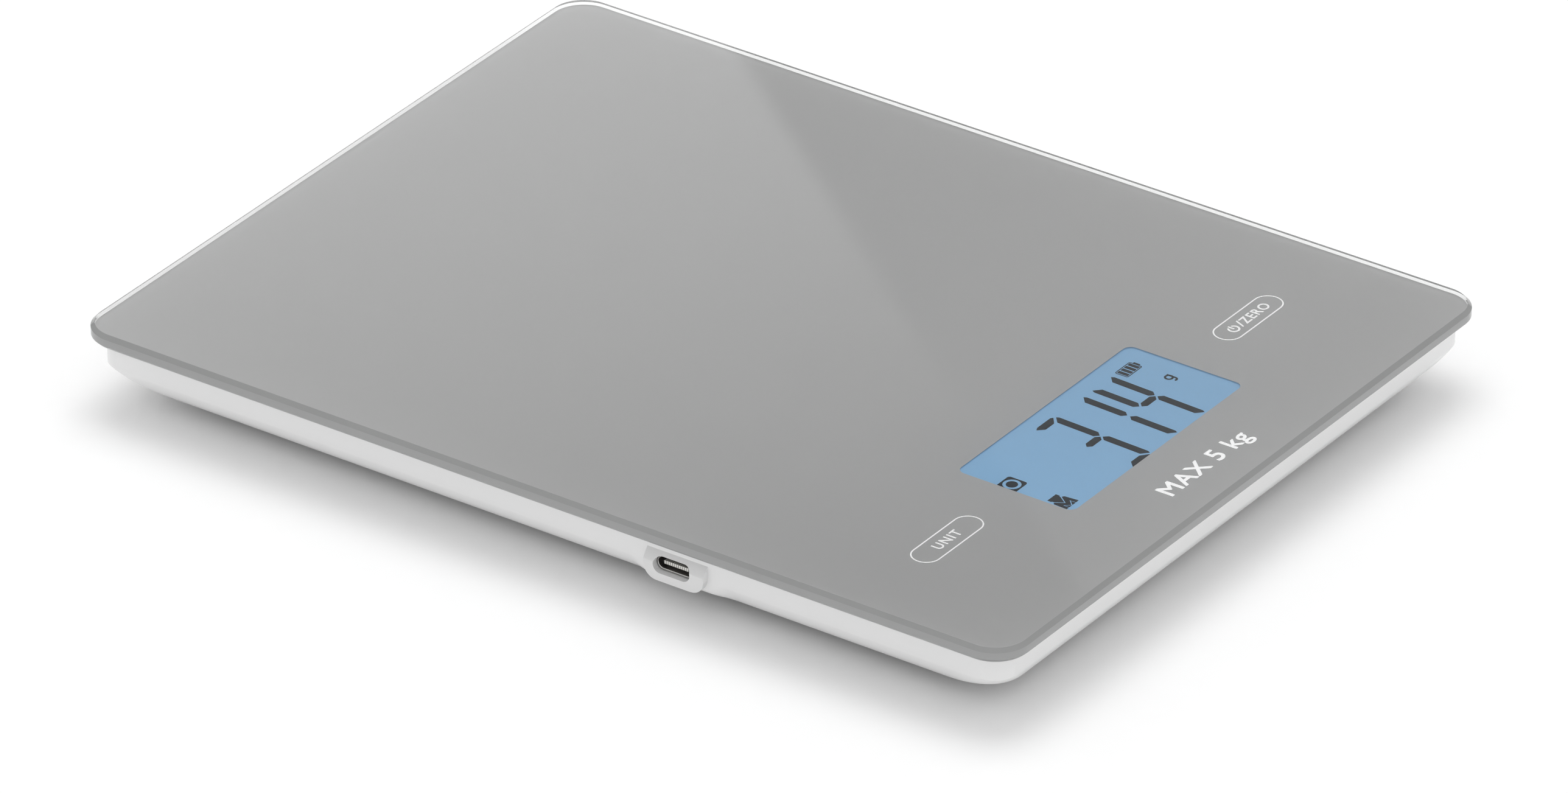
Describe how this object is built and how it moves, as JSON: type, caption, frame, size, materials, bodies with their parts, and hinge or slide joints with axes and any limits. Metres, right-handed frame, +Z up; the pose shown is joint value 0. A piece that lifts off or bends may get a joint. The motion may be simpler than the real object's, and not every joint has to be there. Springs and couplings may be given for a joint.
{
  "type": "kitchen scale",
  "caption": "Flat rectangular digital kitchen scale: glass weighing platform with window display and touch keys over a shallow white base on round feet.",
  "frame": {"origin": "on the floor, under the middle of the glass platform", "axes": "+Z up; +X to the right of the user who reads the display; +Y away from that user, along the scale's length. The display end is at -Y and the charging port is in the -X side."},
  "size_m": [0.175, 0.23, 0.019],
  "materials": {
    "glass": "clear float glass over an opaque grey print on its underside, polished edge",
    "housing_white": "white moulded ABS, satin gloss, fine matte texture round the port",
    "foam_tape": "black acrylic foam tape and conductive elastomer",
    "steel": "stamped nickel-plated steel",
    "black_plastic": "black moulding compound",
    "circuit_board": "green solder mask on glass-epoxy board",
    "lcd_glass": "blue-lit liquid crystal glass",
    "light_guide": "moulded acrylic light guide",
    "white_plastic": "white moulded ABS, unpolished",
    "gauge_coat": "ivory sealing compound over the strain gauge",
    "foot_plastic": "grey moulded ABS",
    "foot_rubber": "soft grey silicone rubber",
    "battery_wrap": "aluminised pouch foil",
    "wire_red": "red PVC wire jacket",
    "wire_black": "black PVC wire jacket",
    "wire_grey": "grey PVC wire jacket"
  },
  "bodies": {
    "scale_body": {"base_shell": "housing_white", "battery_cell": "battery_wrap", "battery_lead_black": "wire_black", "battery_lead_red": "wire_red", "battery_tape": "foam_tape", "board_screw_1": "steel", "board_screw_2": "steel", "board_screw_3": "steel", "board_screw_4": "steel", "bond_tape": "foam_tape", "charge_board": "circuit_board", "charge_chip": "black_plastic", "charge_lead": "wire_red", "charge_screw_a": "steel", "charge_screw_b": "steel", "controller_chip": "black_plastic", "glass_platform": "glass", "holder_screw_front_left_1": "steel", "holder_screw_front_left_2": "steel", "holder_screw_front_right_1": "steel", "holder_screw_front_right_2": "steel", "holder_screw_rear_left_1": "steel", "holder_screw_rear_left_2": "steel", "holder_screw_rear_right_1": "steel", "holder_screw_rear_right_2": "steel", "lcd_contact_strip": "foam_tape", "lcd_frame": "white_plastic", "lcd_light_guide": "light_guide", "lcd_panel": "lcd_glass", "lead_header": "white_plastic", "load_cell_front_left": "steel", "load_cell_front_right": "steel", "load_cell_holder_front_left": "white_plastic", "load_cell_holder_front_right": "white_plastic", "load_cell_holder_rear_left": "white_plastic", "load_cell_holder_rear_right": "white_plastic", "load_cell_lead_front_left": "wire_grey", "load_cell_lead_front_right": "wire_grey", "load_cell_lead_rear_left": "wire_grey", "load_cell_lead_rear_right": "wire_grey", "load_cell_rear_left": "steel", "load_cell_rear_right": "steel", "main_board": "circuit_board", "strain_gauge_front_left": "gauge_coat", "strain_gauge_front_right": "gauge_coat", "strain_gauge_rear_left": "gauge_coat", "strain_gauge_rear_right": "gauge_coat", "touch_spring_unit": "steel", "touch_spring_zero": "steel", "usb_socket_shell": "steel", "usb_tongue": "black_plastic"},
    "foot_front_left_body": {"foot_front_left": "foot_plastic", "foot_pad_front_left": "foot_rubber"},
    "foot_front_right_body": {"foot_front_right": "foot_plastic", "foot_pad_front_right": "foot_rubber"},
    "foot_rear_left_body": {"foot_rear_left": "foot_plastic", "foot_pad_rear_left": "foot_rubber"},
    "foot_rear_right_body": {"foot_rear_right": "foot_plastic", "foot_pad_rear_right": "foot_rubber"}
  },
  "joints": [
    {"name": "foot_front_left_press", "type": "slide", "parent": "scale_body", "child": "foot_front_left_body", "axis": [0, 0, 1], "range_m": [0, 0.0004], "stiffness_N_per_m": 24500},
    {"name": "foot_front_right_press", "type": "slide", "parent": "scale_body", "child": "foot_front_right_body", "axis": [0, 0, 1], "range_m": [0, 0.0004], "stiffness_N_per_m": 24500},
    {"name": "foot_rear_left_press", "type": "slide", "parent": "scale_body", "child": "foot_rear_left_body", "axis": [0, 0, 1], "range_m": [0, 0.0004], "stiffness_N_per_m": 24500},
    {"name": "foot_rear_right_press", "type": "slide", "parent": "scale_body", "child": "foot_rear_right_body", "axis": [0, 0, 1], "range_m": [0, 0.0004], "stiffness_N_per_m": 24500}
  ]
}
